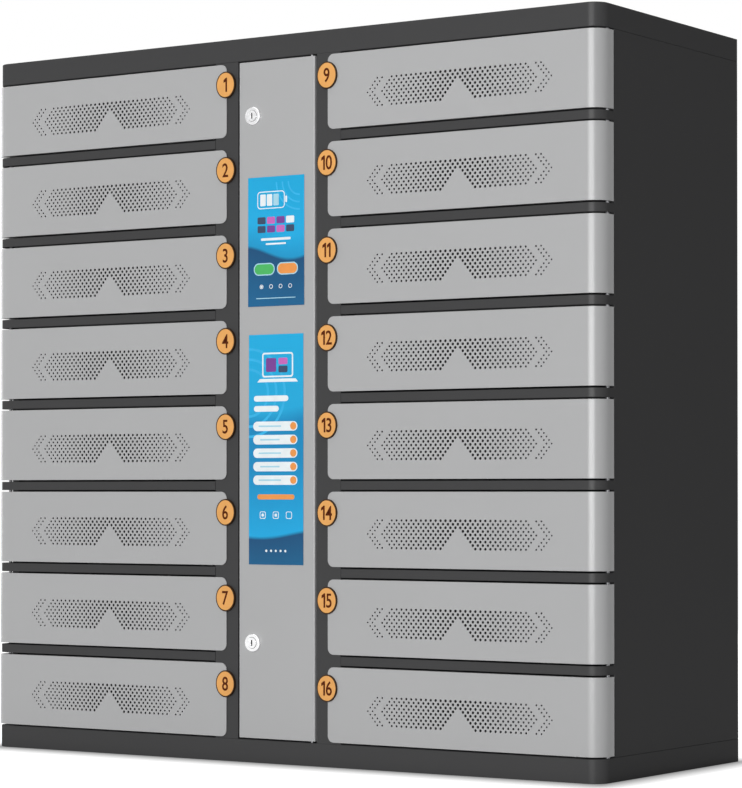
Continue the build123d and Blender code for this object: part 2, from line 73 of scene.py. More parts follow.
# Rounded edges: widths in millimetres, the angle from which an edge is rounded, and the angle up
# to which facets merge into one face
DOOR_EDGE = 0.3
DOOR_OUTER_EDGE = 0.9
CASE_EDGE = 0.6
SOFT_EDGES = (
    (0.8, ("top_cap", "base_pan", "side_panel_left", "side_panel_right", "back_panel")),
    (0.6, ("post_left", "post_right", "door_rails")),
    (0.4, ("service_door", "bay_shelves")),
    (0.25, ("lock_collars", "key_lock_upper", "key_lock_lower", "mains_inlet", "touch_screen")),
)
SHARP_ANGLE = math.radians(40)
FLAT_ANGLE = math.radians(0.5)

# Points this near each other, in metres, become one: in the sub-parts' meshes, and after rounding
SAME_POINT = 0.000002
SLIVER = 0.00001

# Number discs, in millimetres
DISC_SIDES = 72
DISC_RIM = 1.7
DISC_RELIEF = 0.35
DIGIT_SIZE = 27.0
DIGIT_WEIGHT = 0.32
DIGIT_GAP = 1.9
DIGIT_NARROWING = 0.80
DIGIT_RELIEF = 0.25

# Height of one printed layer on the two blue panels, in millimetres
PRINT_LAYER = 0.06

# Power supplies, in millimetres from the front, foot or middle of a case
SUPPLY_SIZE = (90, 180)
VENT_RADIUS = 2.1
VENT_PITCH = (7.6, 7.4)
VENT_ROWS = 17
VENT_COLUMNS = 10
VENT_RISE = 14
VENT_FROM = -1
VENT_TO = 5
TERMINAL_WIDTH = 78
TERMINAL_TEETH = 8
TOOTH_WIDTH = 1.8
TOOTH_DEPTH = 1.5
TERMINAL_SEAT_DEPTH = 6
TERMINAL_BACK_DEPTH = 11.9
TERMINAL_LOW = 3
TERMINAL_HIGH = 19

# Control board, in millimetres from the middle of its face, which lies BOARD_DEPTH behind the
# front of its node: chips as (x, z, size) and capacitors as (x, z)
BOARD_DEPTH = 15
PLUG_SIZE = (10, 9, 15)
PLUG_PITCH = 22
PLUG_INSET = 9
PLUG_LATCH_SIZE = (5.5, 1.4, 4.6)
PLUG_LATCH_SHIFT = 3.6
CHIPS = (
    (49, 52, (27, 3, 27)),
    (46, 12, (16, 2.4, 10)),
    (46, -6, (16, 2.4, 10)),
    (-48, 66, (20, 2.4, 12)),
)
SINK_LEFT = -64
SINK_LOW = -18
SINK_HIGH = 34
SINK_HEIGHT = 16
SINK_BASE = 4
FINS = 6
FIN_PITCH = 6
FIN_WIDTH = 2
CAPACITORS = ((40, -44), (56, -44), (40, -62), (56, -62), (-56, -50), (-40, -50))

# Diameter and height of each kind of screw head, in millimetres
PANEL_SCREW = (7.0, 1.5)
OUTLET_SCREW = (3.6, 0.8)
TRAY_SCREW = (6.0, 1.8)
MODULE_SCREW = (5.0, 1.2)
TERMINAL_SCREW = (7.0, 2.2)

# Upright rows of screws at the back, in millimetres: distance in from the side of a node, lowest
# height, pitch and count
PANEL_SCREW_ROWS = {
    "side_panel_right": (11.5, 60, 146.7, 7),
    "partition_right": (7.5, 110, 195, 5),
}

# Places of the other screws, and the thickness of the tray's sheet, in millimetres
OUTLET_SCREW_REACH = 16
TRAY_SHEET = 1.5
TRAY_SCREW_X = 92
TRAY_SCREW_HEIGHTS = (142, 490, 838)
BOARD_SCREW_INSET = 8
MODULE_SCREW_INSET = 7

# Width of the joint round the back panel, in millimetres
PANEL_JOINT = 0.98

# Depths below a lock plug's face between which its slot is filled by a dark piece, painted
# shade for the slot's depths, in millimetres
KEYWAY_SHADE_DEPTH = 2.6
KEYWAY_SHADE_END = 5.9

# How far the cam and its screw reach forwards from the plug's back, in millimetres, with 0.1 to
# spare
CAM_REACH = 5.6

# Painted shadow round the cabinet's foot: the share of the floor's colour and glow kept there,
# how far it reaches in metres, and how much shorter that is to the sides
PAINTED_SHADOW_AT_FOOT = 0.30
PAINTED_SHADOW_REACH = 0.075
PAINTED_SHADOW_SQUEEZE = 1.5

# Floor, in metres, with the shares of light that it scatters and that it gives to the camera,
# and the share of the world's light that falls on things
FLOOR_HALF = 30
FLOOR_DROP = 0.0004
FLOOR_COLOR = 0.6
FLOOR_GLOW = 0.92
WORLD_LIGHT = 0.15

# Lamps, in metres: name, place, aim, width, height and radiance
LAMPS = (
    ("key", (1.75, -6.0, 1.6), (1.75, 0, 1.6), 3.9, 3.2, 6.5),
    ("low", (1.75, -5.9, 0.32), (1.75, 0, 0.32), 3.9, 0.6, 6.5),
    ("fill", (-4.2, -2.8, 1.0), (0, 0, 0.5), 2.0, 2.0, 0.9),
    ("top", (0.0, -0.2, 3.3), (0, 0, 0), 3.0, 3.0, 1.0),
    ("rear", (-0.9, 3.4, 1.4), (-0.1, 0, 0.5), 2.4, 2.4, 2.6),
    ("left", (-3.3, 0.6, 1.3), (0, 0.1, 0.5), 2.4, 2.4, 1.6),
)

# Camera, in metres, degrees and, for the sensor and the lens, millimetres. The shift is a share of
# the frame's longer side.
CAMERA_PLACE = (2.3237, -3.4724, 0.3726)
CAMERA_TILT = 90.682
CAMERA_YAW = 34.254
CAMERA_SENSOR = 36.0
CAMERA_LENS = 133.96
CAMERA_SHIFT = (0.05, 0.08)
CAMERA_REACH = 80.0


# Materials

def new_material(name):
    material = bpy.data.materials.new(name)
    material.use_nodes = True
    tree = material.node_tree
    return material, tree, tree.nodes["Principled BSDF"]


def set_socket(node, name, value):
    node.inputs[name].default_value = value


def add_node(tree, kind, **values):
    node = tree.nodes.new(kind)
    for key, value in values.items():
        setattr(node, key, value)
    return node


def math_node(tree, operation, *values):
    """The result of a Math node on numbers and on other nodes' outputs."""
    node = add_node(tree, "ShaderNodeMath", operation=operation)
    for index, value in enumerate(values):
        if isinstance(value, bpy.types.NodeSocket):
            tree.links.new(value, node.inputs[index])
        else:
            set_socket(node, index, value)
    return node.outputs["Value"]


def object_axes(tree):
    """X, Y and Z in the object's own coordinates."""
    place = add_node(tree, "ShaderNodeTexCoord")
    split = add_node(tree, "ShaderNodeSeparateXYZ")
    tree.links.new(place.outputs["Object"], split.inputs["Vector"])
    return split.outputs


def noise(tree, scale, detail=2.0, stretch=(1, 1, 1)):
    """Noise in the object's own coordinates, with scale in cells per metre."""
    place = add_node(tree, "ShaderNodeTexCoord")
    spread = add_node(tree, "ShaderNodeMapping")
    set_socket(spread, "Scale", stretch)
    texture = add_node(tree, "ShaderNodeTexNoise")
    set_socket(texture, "Scale", scale)
    set_socket(texture, "Detail", detail)
    tree.links.new(place.outputs["Object"], spread.inputs["Vector"])
    tree.links.new(spread.outputs["Vector"], texture.inputs["Vector"])
    return texture.outputs["Fac"]


def spread_range(tree, fac, low, high, start=0.3, end=0.7):
    """Maps the values from start to end, a noise's middle range, onto low to high."""
    node = add_node(tree, "ShaderNodeMapRange")
    set_socket(node, "From Min", start)
    set_socket(node, "From Max", end)
    set_socket(node, "To Min", low)
    set_socket(node, "To Max", high)
    tree.links.new(fac, node.inputs["Value"])
    return node.outputs["Result"]


def shade_color(tree, color, factor):
    """The colour multiplied by a factor that varies over the surface."""
    node = add_node(tree, "ShaderNodeVectorMath", operation="SCALE")
    set_socket(node, 0, color)
    tree.links.new(factor, node.inputs["Scale"])
    return node.outputs["Vector"]


def add_bump(tree, shader, height, distance, strength=1.0):
    bump = add_node(tree, "ShaderNodeBump")
    set_socket(bump, "Strength", strength)
    set_socket(bump, "Distance", distance)
    tree.links.new(height, bump.inputs["Height"])
    tree.links.new(bump.outputs["Normal"], shader.inputs["Normal"])


def powder_coat(name, color, specular, roughness, grain, depth, grain_contrast):
    """Powder coat: fine orange peel, a faint cloudiness and a fine speckle."""
    material, tree, shader = new_material(name)
    cloud = spread_range(tree, noise(tree, 6.0), 0.99, 1.01)
    speckle = spread_range(
        tree, noise(tree, 2600.0, 1.0), 1 - grain_contrast, 1 + grain_contrast
    )
    both = math_node(tree, "MULTIPLY", cloud, speckle)
    tree.links.new(shade_color(tree, color, both), shader.inputs["Base Color"])
    rough = spread_range(tree, noise(tree, 14.0), roughness - 0.012, roughness + 0.012)
    tree.links.new(rough, shader.inputs["Roughness"])
    set_socket(shader, "Specular IOR Level", specular)
    add_bump(tree, shader, noise(tree, grain, 2.0), depth)
    return material


def satin_layer(material, weight, roughness):
    """A thin hard skin on a paint, which mirrors about as much head-on as from the side."""
    shader = material.node_tree.nodes["Principled BSDF"]
    set_socket(shader, "Coat Weight", weight)
    set_socket(shader, "Coat Roughness", roughness)
    set_socket(shader, "Coat IOR", 2.5)
    return material


def plastic(name, color, roughness, grain=900.0, depth=0.00004, specular=0.5):
    material, tree, shader = new_material(name)
    set_socket(shader, "Specular IOR Level", specular)
    tint = spread_range(tree, noise(tree, 60.0), 0.96, 1.04)
    tree.links.new(shade_color(tree, color, tint), shader.inputs["Base Color"])
    set_socket(shader, "Roughness", roughness)
    add_bump(tree, shader, noise(tree, grain, 3.0), depth)
    return material


def metal(name, color, roughness, stretch=(1, 1, 1), scale=300.0, depth=0.00001):
    """Bare or plated metal, with fine marks drawn out along the axis that stretch shortens."""
    material, tree, shader = new_material(name)
    marks = noise(tree, scale, 4.0, stretch)
    tree.links.new(
        shade_color(tree, color, spread_range(tree, marks, 0.93, 1.05)),
        shader.inputs["Base Color"],
    )
    tree.links.new(
        spread_range(tree, marks, roughness - 0.05, roughness + 0.06),
        shader.inputs["Roughness"],
    )
    set_socket(shader, "Metallic", 1.0)
    add_bump(tree, shader, marks, depth)
    return material


def gradient_print(name, bottom, top, stops, roughness, wave):
    """Printed sheet: a vertical run of colours, darker below a wavy line, where wave gives the
    line's length and phase along X and its swing as a share of the sheet's height."""
    material, tree, shader = new_material(name)
    axes = object_axes(tree)
    height = spread_range(tree, axes["Z"], 0.0, 1.0, bottom, top)
    ramp = add_node(tree, "ShaderNodeValToRGB")
    while len(ramp.color_ramp.elements) < len(stops):
        ramp.color_ramp.elements.new(0.5)
    for element, (position, color) in zip(ramp.color_ramp.elements, stops):
        element.position = position
        element.color = (*color, 1)
    length, phase, reach = wave
    turn = math_node(tree, "MULTIPLY_ADD", axes["X"], 2 * math.pi / length, phase)
    swing = math_node(tree, "SINE", turn)
    tree.links.new(math_node(tree, "MULTIPLY_ADD", swing, reach, height), ramp.inputs["Fac"])
    tree.links.new(ramp.outputs["Color"], shader.inputs["Base Color"])
    set_socket(shader, "Roughness", roughness)
    set_socket(shader, "Specular IOR Level", 0.3)
    add_bump(tree, shader, noise(tree, 500.0), 0.00001)
    return material


def circuit_board(name, board_face):
    """Green board with pale tracks, and black components wherever it stands proud of that face."""
    material, tree, shader = new_material(name)
    axes = object_axes(tree)
    proud = math_node(tree, "LESS_THAN", axes["Y"], board_face - 0.0002)
    tracks = add_node(tree, "ShaderNodeTexBrick")
    set_socket(tracks, "Scale", 90.0)
    set_socket(tracks, "Mortar Size", 0.035)
    set_socket(tracks, "Color1", (0.01, 0.12, 0.05, 1))
    set_socket(tracks, "Color2", (0.012, 0.14, 0.06, 1))
    set_socket(tracks, "Mortar", (0.10, 0.30, 0.16, 1))
    upright = add_node(tree, "ShaderNodeCombineXYZ")
    tree.links.new(axes["X"], upright.inputs["X"])
    tree.links.new(axes["Z"], upright.inputs["Y"])
    tree.links.new(upright.outputs["Vector"], tracks.inputs["Vector"])
    pick = add_node(tree, "ShaderNodeMix", data_type="RGBA")
    set_socket(pick, "B", (0.012, 0.012, 0.014, 1))
    tree.links.new(proud, pick.inputs["Factor"])
    tree.links.new(tracks.outputs["Color"], pick.inputs["A"])
    tree.links.new(pick.outputs["Result"], shader.inputs["Base Color"])
    set_socket(shader, "Roughness", 0.4)
    add_bump(tree, shader, noise(tree, 800.0), 0.00002)
    return material


screen_low, screen_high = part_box("touch_screen")
graphic_low, graphic_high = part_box("graphic_panel")
board_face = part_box("control_board")[0].y + BOARD_DEPTH * MM

MATERIALS = {
    "charcoal_paint": satin_layer(
        powder_coat("charcoal_paint", (0.053, 0.053, 0.054), 0.0, 0.5, 500.0, 0.000006, 0.02),
        0.055, 0.28,
    ),
    "inner_paint": powder_coat(
        "inner_paint", (0.080, 0.080, 0.083), 0.1, 0.5, 500.0, 0.000006, 0.02
    ),
    "silver_paint": powder_coat(
        "silver_paint", (0.405, 0.407, 0.411), 0.5, 0.26, 500.0, 0.0000008, 0.005
    ),
    "amber_plastic": plastic("amber_plastic", (0.76, 0.362, 0.094), 0.42),
    "amber_print": plastic("amber_print", (0.085, 0.014, 0.001), 0.5, specular=0.1),
    # Dark brown for the discs' rim band, side wall and back: painted shade along their edge
    "amber_rim_painted_shade": plastic("amber_rim_painted_shade", (0.035, 0.014, 0.003), 0.5, specular=0.2),
    "pin_steel": metal("pin_steel", (0.24, 0.24, 0.25), 0.45, (1, 1, 0.05)),
    "black_plastic": plastic("black_plastic", (0.020, 0.020, 0.022), 0.45),
    "module_black": plastic("module_black", (0.022, 0.022, 0.026), 0.4),
    "zinc_sheet": metal("zinc_sheet", (0.40, 0.42, 0.43), 0.50, (1, 1, 0.4), 60.0),
    "supply_case": metal("supply_case", (0.46, 0.47, 0.48), 0.42, (1, 1, 0.05), 500.0),
    "seal_rubber": plastic("seal_rubber", (0.015, 0.015, 0.016), 0.8, 700.0, 0.0001),
    "black_anodised": metal("black_anodised", (0.035, 0.035, 0.038), 0.42, (1, 1, 0.05), 400.0),
    "board_green": circuit_board("board_green", board_face),
    "lock_chrome": metal(
        "lock_chrome", (0.80, 0.80, 0.81), 0.22, scale=200.0, depth=0.000002
    ),
    "screen_glass": gradient_print(
        "screen_glass", screen_low.z, screen_high.z,
        (
            (0.0, (0.004, 0.115, 0.27)),
            (0.40, (0.002, 0.070, 0.18)),
            (0.425, (0.006, 0.30, 0.58)),
            (0.60, (0.010, 0.40, 0.74)),
            (1.0, (0.006, 0.38, 0.69)),
        ),
        0.22, (0.16, 0.6, 0.055),
    ),
    "blue_panel": gradient_print(
        "blue_panel", graphic_low.z, graphic_high.z,
        (
            (0.0, (0.003, 0.105, 0.24)),
            (0.125, (0.002, 0.070, 0.18)),
            (0.14, (0.010, 0.38, 0.72)),
            (0.45, (0.004, 0.24, 0.50)),
            (0.62, (0.004, 0.24, 0.50)),
            (0.68, (0.012, 0.38, 0.68)),
            (1.0, (0.010, 0.40, 0.72)),
        ),
        0.30, (0.20, 2.4, 0.018),
    ),
    "filter_felt": plastic("filter_felt", (0.018, 0.018, 0.020), 0.95, 1500.0, 0.0004),
    "nylon_white": plastic("nylon_white", (0.62, 0.64, 0.60), 0.5),
    "capacitor_sleeve": plastic("capacitor_sleeve", (0.015, 0.02, 0.05), 0.35),
}
PRINT_COLORS = {
    "print_white": (0.80, 0.86, 0.88),
    "print_orange": (0.80, 0.29, 0.06),
    "print_green": (0.05, 0.42, 0.10),
    "print_pale": (0.38, 0.66, 0.78),
    "print_cyan": (0.02, 0.43, 0.76),
    "print_navy": (0.012, 0.035, 0.09),
    "print_violet": (0.16, 0.03, 0.26),
    "print_pink": (0.55, 0.12, 0.46),
}
for name, color in PRINT_COLORS.items():
    MATERIALS[name] = plastic(name, color, 0.4)


# Geometry helpers, in millimetres

Sides = namedtuple("Sides", "left front bottom right back top")


def node_sides(node):
    """The node's box in millimetres."""
    low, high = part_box(node)
    return Sides(*(v / MM for v in (*low, *high)))


def corners(sides, across, up):
    """The four corners (x, z) of a box's front, moved inwards by so much across and up."""
    left, right = sides.left + across, sides.right - across
    low, high = sides.bottom + up, sides.top - up
    return [(left, low), (right, low), (right, high), (left, high)]


def extent(vertices, axis):
    """The least and the greatest coordinate of some vertices along an axis, in metres."""
    values = [v.co[axis] for v in vertices]
    return min(values), max(values)


def smooth(mesh, angle=35.0):
    for polygon in mesh.polygons:
        polygon.use_smooth = True
    mesh.set_sharp_from_angle(angle=math.radians(angle))


def add_piece(name, mesh, body, materials, replaced=()):
    piece = bpy.data.objects.new(name, mesh)
    bpy.context.scene.collection.objects.link(piece)
    for material in materials:
        mesh.materials.append(MATERIALS[material])
    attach(piece, body)
    if replaced:
        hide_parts(*replaced)
    return piece


def mesh_of(name, build):
    """A mesh made by a function that fills a bmesh in millimetres."""
    made = bmesh.new()
    build(made)
    bmesh.ops.scale(made, vec=(MM, MM, MM), verts=made.verts)
    bmesh.ops.recalc_face_normals(made, faces=made.faces)
    mesh = bpy.data.meshes.new(name)
    made.to_mesh(mesh)
    made.free()
    return mesh


def even_normals(piece, keep_sharp):
    """Keeps broad faces flat and lets the rounded edges take the turn of the light."""
    normals = piece.modifiers.new("normals", "WEIGHTED_NORMAL")
    normals.keep_sharp = keep_sharp


def soften(piece, width):
    """Small rounded edges on a carried-over part, by modifiers that leave its mesh alone."""
    weld = piece.modifiers.new("weld", "WELD")
    weld.merge_threshold = SAME_POINT
    flat = piece.modifiers.new("flat", "DECIMATE")
    flat.decimate_type = "DISSOLVE"
    flat.angle_limit = FLAT_ANGLE
    edge = piece.modifiers.new("edge", "BEVEL")
    edge.width = width * MM
    edge.segments = 2
    edge.limit_method = "ANGLE"
    edge.angle_limit = SHARP_ANGLE
    edge.use_clamp_overlap = True
    clean = piece.modifiers.new("clean", "WELD")
    clean.merge_threshold = SLIVER
    even_normals(piece, False)


def prism(made, outline, low, high, axis="Y"):
    """A closed prism over an outline: (x, z) for axis Y, (x, y) for axis Z."""
    rings = []
    for level in (low, high):
        if axis == "Y":
            rings.append([made.verts.new((a, level, b)) for a, b in outline])
        else:
            rings.append([made.verts.new((a, b, level)) for a, b in outline])
    made.faces.new(rings[0])
    made.faces.new(rings[1][::-1])
    for i in range(len(outline)):
        j = (i + 1) % len(outline)
        made.faces.new((rings[0][j], rings[0][i], rings[1][i], rings[1][j]))


def block(made, middle, size):
    """A box round a middle, given its width, depth and height."""
    low = (m - length / 2 for m, length in zip(middle, size))
    high = (m + length / 2 for m, length in zip(middle, size))
    sides = Sides(*low, *high)
    prism(made, corners(sides, 0, 0), sides.front, sides.back)


def circle(x, z, radius, sides=40):
    turns = [2 * math.pi * i / sides for i in range(sides)]
    return [(x + radius * math.cos(turn), z + radius * math.sin(turn)) for turn in turns]


def turned(profile, sides, centre, narrowing=1.0):
    """Fills a bmesh with a profile of (radius, depth) turned about a line towards the back."""
    def build(made):
        rings = []
        for radius, depth in profile:
            if radius < 0.001:
                rings.append([made.verts.new((centre[0], centre[1] + depth, centre[2]))])
                continue
            ring = []
            for side in range(sides):
                turn = 2 * math.pi * side / sides
                ring.append(made.verts.new((
                    centre[0] + radius * math.cos(turn) * narrowing,
                    centre[1] + depth,
                    centre[2] + radius * math.sin(turn),
                )))
            rings.append(ring)
        for first, second in zip(rings, rings[1:]):
            for side in range(sides):
                after = (side + 1) % sides
                if len(first) == 1:
                    made.faces.new((first[0], second[side], second[after]))
                elif len(second) == 1:
                    made.faces.new((first[side], second[0], first[after]))
                else:
                    made.faces.new((first[side], second[side], second[after], first[after]))
    return build


def bevelled(name, build, width):
    """A mesh made by a function, with its sharp edges rounded."""
    def fill(made):
        build(made)
        bmesh.ops.recalc_face_normals(made, faces=made.faces)
        sharp = [e for e in made.edges if e.calc_face_angle(0) > SHARP_ANGLE]
        bmesh.ops.bevel(
            made, geom=sharp, offset=width, segments=2, affect="EDGES", clamp_overlap=True
        )
    mesh = mesh_of(name, fill)
    smooth(mesh)
    return mesh


def join(name, meshes):
    """One mesh from several, each with its own material index."""
    made = bmesh.new()
    for index, mesh in enumerate(meshes):
        start = len(made.faces)
        made.from_mesh(mesh)
        made.faces.ensure_lookup_table()
        for face in made.faces[start:]:
            face.material_index = index
    result = bpy.data.meshes.new(name)
    made.to_mesh(result)
    made.free()
    return result


def cut(mesh, cutters):
    """The mesh with the cutters taken out of it."""
    body = bpy.data.objects.new("body", mesh)
    tool = bpy.data.objects.new("tool", cutters)
    for item in (body, tool):
        bpy.context.scene.collection.objects.link(item)
    change = body.modifiers.new("cut", "BOOLEAN")
    change.operation = "DIFFERENCE"
    change.solver = "EXACT"
    change.object = tool
    bpy.context.view_layer.update()
    graph = bpy.context.evaluated_depsgraph_get()
    result = bpy.data.meshes.new_from_object(body.evaluated_get(graph))
    bpy.data.objects.remove(body)
    bpy.data.objects.remove(tool)
    return result


def outer_edge(edge, low, high):
    """True for an edge between the outer skin and the top or bottom of a folded door."""
    level = edge.verts[0].co.z
    if abs(edge.verts[1].co.z - level) > SLIVER or min(level - low, high - level) > SLIVER:
        return False
    return any(face.normal.y < -0.5 or face.normal.x > 0.5 for face in edge.link_faces)


def clean_copy(node, bevel, outer=0.0):
    """The node's mesh with its facets merged into whole faces and its edges rounded."""
    made = bmesh.new()
    made.from_mesh(nodes[node].data)
    bmesh.ops.remove_doubles(made, verts=made.verts, dist=SAME_POINT)
    bmesh.ops.dissolve_limit(
        made, angle_limit=FLAT_ANGLE, verts=made.verts, edges=made.edges
    )
    low, high = extent(made.verts, 2)
    sharp = [
        e for e in made.edges
        if len(e.link_faces) == 2 and e.calc_face_angle(0) > SHARP_ANGLE
    ]
    skin = [e for e in sharp if outer and outer_edge(e, low, high)]
    rest = [e for e in sharp if e not in skin]
    for edges, width, steps in ((rest, bevel, 2), (skin, outer, 3)):
        edges = [e for e in edges if e.is_valid]
        if edges:
            bmesh.ops.bevel(
                made, geom=edges, offset=width * MM, segments=steps, affect="EDGES",
                clamp_overlap=True,
            )
    bmesh.ops.remove_doubles(made, verts=made.verts, dist=SLIVER)
    mesh = bpy.data.meshes.new(node)
    made.to_mesh(mesh)
    made.free()
    return mesh


# Bay doors, perforated

def hole_places():
    """The holes of one door as (x, z, radius) from the middle of the field, with a notch from
    below in the middle and one hole left out near each end of a row."""
    places = []
    for row in range(1, HOLE_ROWS + 1):
        reach = HOLE_FIELD_REACH - abs(row - HOLE_MIDDLE_ROW) / 2
        z = (HOLE_MIDDLE_ROW - row) * HOLE_PITCH_Z
        step = -reach
        while step <= reach:
            side = abs(step)
            in_notch = side < (row - HOLE_NOTCH_ROW + 1) / 2
            in_gap = abs(side - (reach - HOLE_LEFT_OUT)) < 0.1
            if not in_notch and not in_gap:
                share = (side / HOLE_FIELD_REACH) ** HOLE_TAPER
                radius = HOLE_CENTRE_RADIUS + (HOLE_END_RADIUS - HOLE_CENTRE_RADIUS) * share
                places.append((step * HOLE_PITCH_X, z, radius))
            step += 1
    return places


def make_doors():
    """One perforated door at the lower right, copied to its place in both columns."""
    sides = node_sides("door_09")
    middle = (sides.bottom + sides.top) / 2 - HOLE_FIELD_DROP

    def holes(made):
        for x, z, radius in hole_places():
            outline = circle(HOLE_FIELD_X + x, middle + z, radius, HOLE_SIDES)
            prism(made, outline, sides.front + HOLE_FROM, sides.front + HOLE_TO)
    door = cut(clean_copy("door_09", DOOR_EDGE, DOOR_OUTER_EDGE), mesh_of("holes", holes))
    for number in DOORS:
        name = f"door_{number:02d}"
        rise = node_sides(name).bottom - sides.bottom
        mesh = door.copy()
        if number <= ROWS:
            mesh.transform(Matrix.Scale(-1, 4, (1, 0, 0)))
            mesh.flip_normals()
        mesh.transform(Matrix.Translation((0, 0, rise * MM)))
        smooth(mesh)
        piece = add_piece(
            f"perforated_{name}", mesh, name, ["silver_paint"], [name]
        )
        even_normals(piece, True)


# Number discs

def font_digit(character):
    """A digit of the built-in font, made bolder, lying in the plane z = 0."""
    curve = bpy.data.curves.new("digit", "FONT")
    curve.body = character
    curve.size = DIGIT_SIZE * MM
    curve.offset = DIGIT_WEIGHT * MM
    curve.extrude = DIGIT_RELIEF * MM / 2
    curve.resolution_u = 6
    item = bpy.data.objects.new("digit", curve)
    bpy.context.scene.collection.objects.link(item)
    bpy.context.view_layer.update()
    graph = bpy.context.evaluated_depsgraph_get()
    mesh = bpy.data.meshes.new_from_object(item.evaluated_get(graph))
    bpy.data.objects.remove(item)
    return mesh


def flagged_one(height, stroke):
    """A one with a flag at its head, which the font's plain bar lacks."""
    flag = 0.21 * height
    outline = [
        (0, 0),
        (stroke, 0),
        (stroke, height),
        (0.3 * stroke, height),
        (-flag, 0.84 * height),
        (-flag, 0.84 * height - 1.15 * stroke),
        (0, 0.93 * height - 1.15 * stroke),
    ]
    half = DIGIT_RELIEF / 2
    return mesh_of("one", lambda made: prism(made, outline, -half, half, "Z"))


def digits_mesh(text):
    """The digits of a number side by side, standing on the line y = 0."""
    foot, head = extent(font_digit("8").vertices, 1)
    height = (head - foot) / MM
    left, right = extent(font_digit("1").vertices, 0)
    stroke = (right - left) / MM
    made = bmesh.new()
    reached = 0.0
    for character in text:
        mesh = flagged_one(height, stroke) if character == "1" else font_digit(character)
        left, right = extent(mesh.vertices, 0)
        foot = extent(mesh.vertices, 1)[0]
        mesh.transform(Matrix.Translation((reached - left, -foot, 0)))
        made.from_mesh(mesh)
        reached += right - left + DIGIT_GAP * MM
    result = bpy.data.meshes.new("digits")
    made.to_mesh(result)
    made.free()
    return result


def make_discs():
    for number in DOORS:
        node = f"number_disc_{number:02d}"
        sides = node_sides(node)
        centre = ((sides.left + sides.right) / 2, sides.front, (sides.bottom + sides.top) / 2)
        outer = (sides.top - sides.bottom) / 2
        narrowing = (sides.right - sides.left) / (sides.top - sides.bottom)
        thick = sides.back - sides.front
        inner = outer - DISC_RIM
        face = ((0, DISC_RELIEF), (inner, DISC_RELIEF))
        # The rim band, side wall and back take the dark rim colour, painted shade along the disc's
        # edge
        rim = (
            (inner, DISC_RELIEF),
            (inner + 0.25, 0.08),
            (inner + 0.5, 0),
            (outer - 0.6, 0),
            (outer - 0.2, 0.15),
            (outer, 0.6),
            (outer, thick),
            (0, thick),
        )
        face_mesh = mesh_of("face", turned(face, DISC_SIDES, centre, narrowing))
        rim_mesh = mesh_of("rim", turned(rim, DISC_SIDES, centre, narrowing))
        digits = digits_mesh(str(number))
        left, right = extent(digits.vertices, 0)
        low, high = extent(digits.vertices, 1)
        digits.transform(Matrix.Translation((-(left + right) / 2, -(low + high) / 2, 0)))
        digits.transform(Matrix.Diagonal((DIGIT_NARROWING, 1, 1, 1)))
        digits.transform(Matrix.Rotation(math.radians(90), 4, "X"))
        depth = centre[1] + DISC_RELIEF - DIGIT_RELIEF / 2
        digits.transform(Matrix.Translation((centre[0] * MM, depth * MM, centre[2] * MM)))
        mesh = join(node, [face_mesh, rim_mesh, digits])
        smooth(mesh, 50)
        add_piece(
            f"disc_with_number_{number:02d}", mesh, f"door_{number:02d}",
            ["amber_plastic", "amber_rim_painted_shade", "amber_print"], [node],
        )


# Printed motifs on the touch screen and on the panel below it

def rounded(x, z, width, height, radius, steps=8):
    """Outline of a rounded rectangle round a middle."""
    outline = []
    for corner_x, corner_z, start in ((1, 1, 0), (-1, 1, 90), (-1, -1, 180), (1, -1, 270)):
        for step in range(steps + 1):
            turn = math.radians(start + 90 * step / steps)
            outline.append((
                x + corner_x * (width / 2 - radius) + radius * math.cos(turn),
                z + corner_z * (height / 2 - radius) + radius * math.sin(turn),
            ))
    return outline


def arc_band(x, z, outer, inner, start, end, sides=48):
    """Outline of a band between two radii, from one angle to another."""
    turns = [math.radians(start + (end - start) * i / sides) for i in range(sides + 1)]
    outside = [(x + outer * math.cos(t), z + outer * math.sin(t)) for t in turns]
    inside = [(x + inner * math.cos(t), z + inner * math.sin(t)) for t in reversed(turns)]
    return outside + inside


class Print:
    """Flat shapes in layers on an upright face, gathered by colour."""

    def __init__(self, name, node, body):
        self.name = name
        self.body = body
        sides = node_sides(node)
        self.origin = ((sides.left + sides.right) / 2, sides.front, sides.bottom)
        self.shapes = {}

    def shape(self, color, layer, *outlines):
        for outline in outlines:
            after = outline[1:] + outline[:1]
            outline = [p for p, q in zip(outline, after) if math.dist(p, q) > 0.001]
            self.shapes.setdefault(color, []).append((layer, outline, None))

    def frame(self, color, layer, outer, inner):
        """A closed line, given by an outer and an inner outline of as many points."""
        self.shapes.setdefault(color, []).append((layer, outer, inner))

    def rings(self, made, layer, outline):
        """An outline's points at the layer's face, and again just inside the printed part."""
        x0, y0, z0 = self.origin
        return [
            [made.verts.new((x0 + x, y, z0 + z)) for x, z in outline]
            for y in (y0 - layer * PRINT_LAYER, y0 + PRINT_LAYER)
        ]

    def build(self):
        for color, shapes in self.shapes.items():
            def fill(made, shapes=shapes):
                for layer, outer, inner in shapes:
                    front, back = self.rings(made, layer, outer)
                    loops = [front, back]
                    if inner is None:
                        made.faces.new(front)
                        made.faces.new(back[::-1])
                    else:
                        loops = [front, back, *self.rings(made, layer, inner)[::-1], front]
                    for first, second in zip(loops, loops[1:]):
                        for i in range(len(outer)):
                            j = (i + 1) % len(outer)
                            made.faces.new((first[i], first[j], second[j], second[i]))
            mesh = mesh_of(f"{self.name}_{color}", fill)
            add_piece(f"{self.name}_{color}", mesh, self.body, [color])


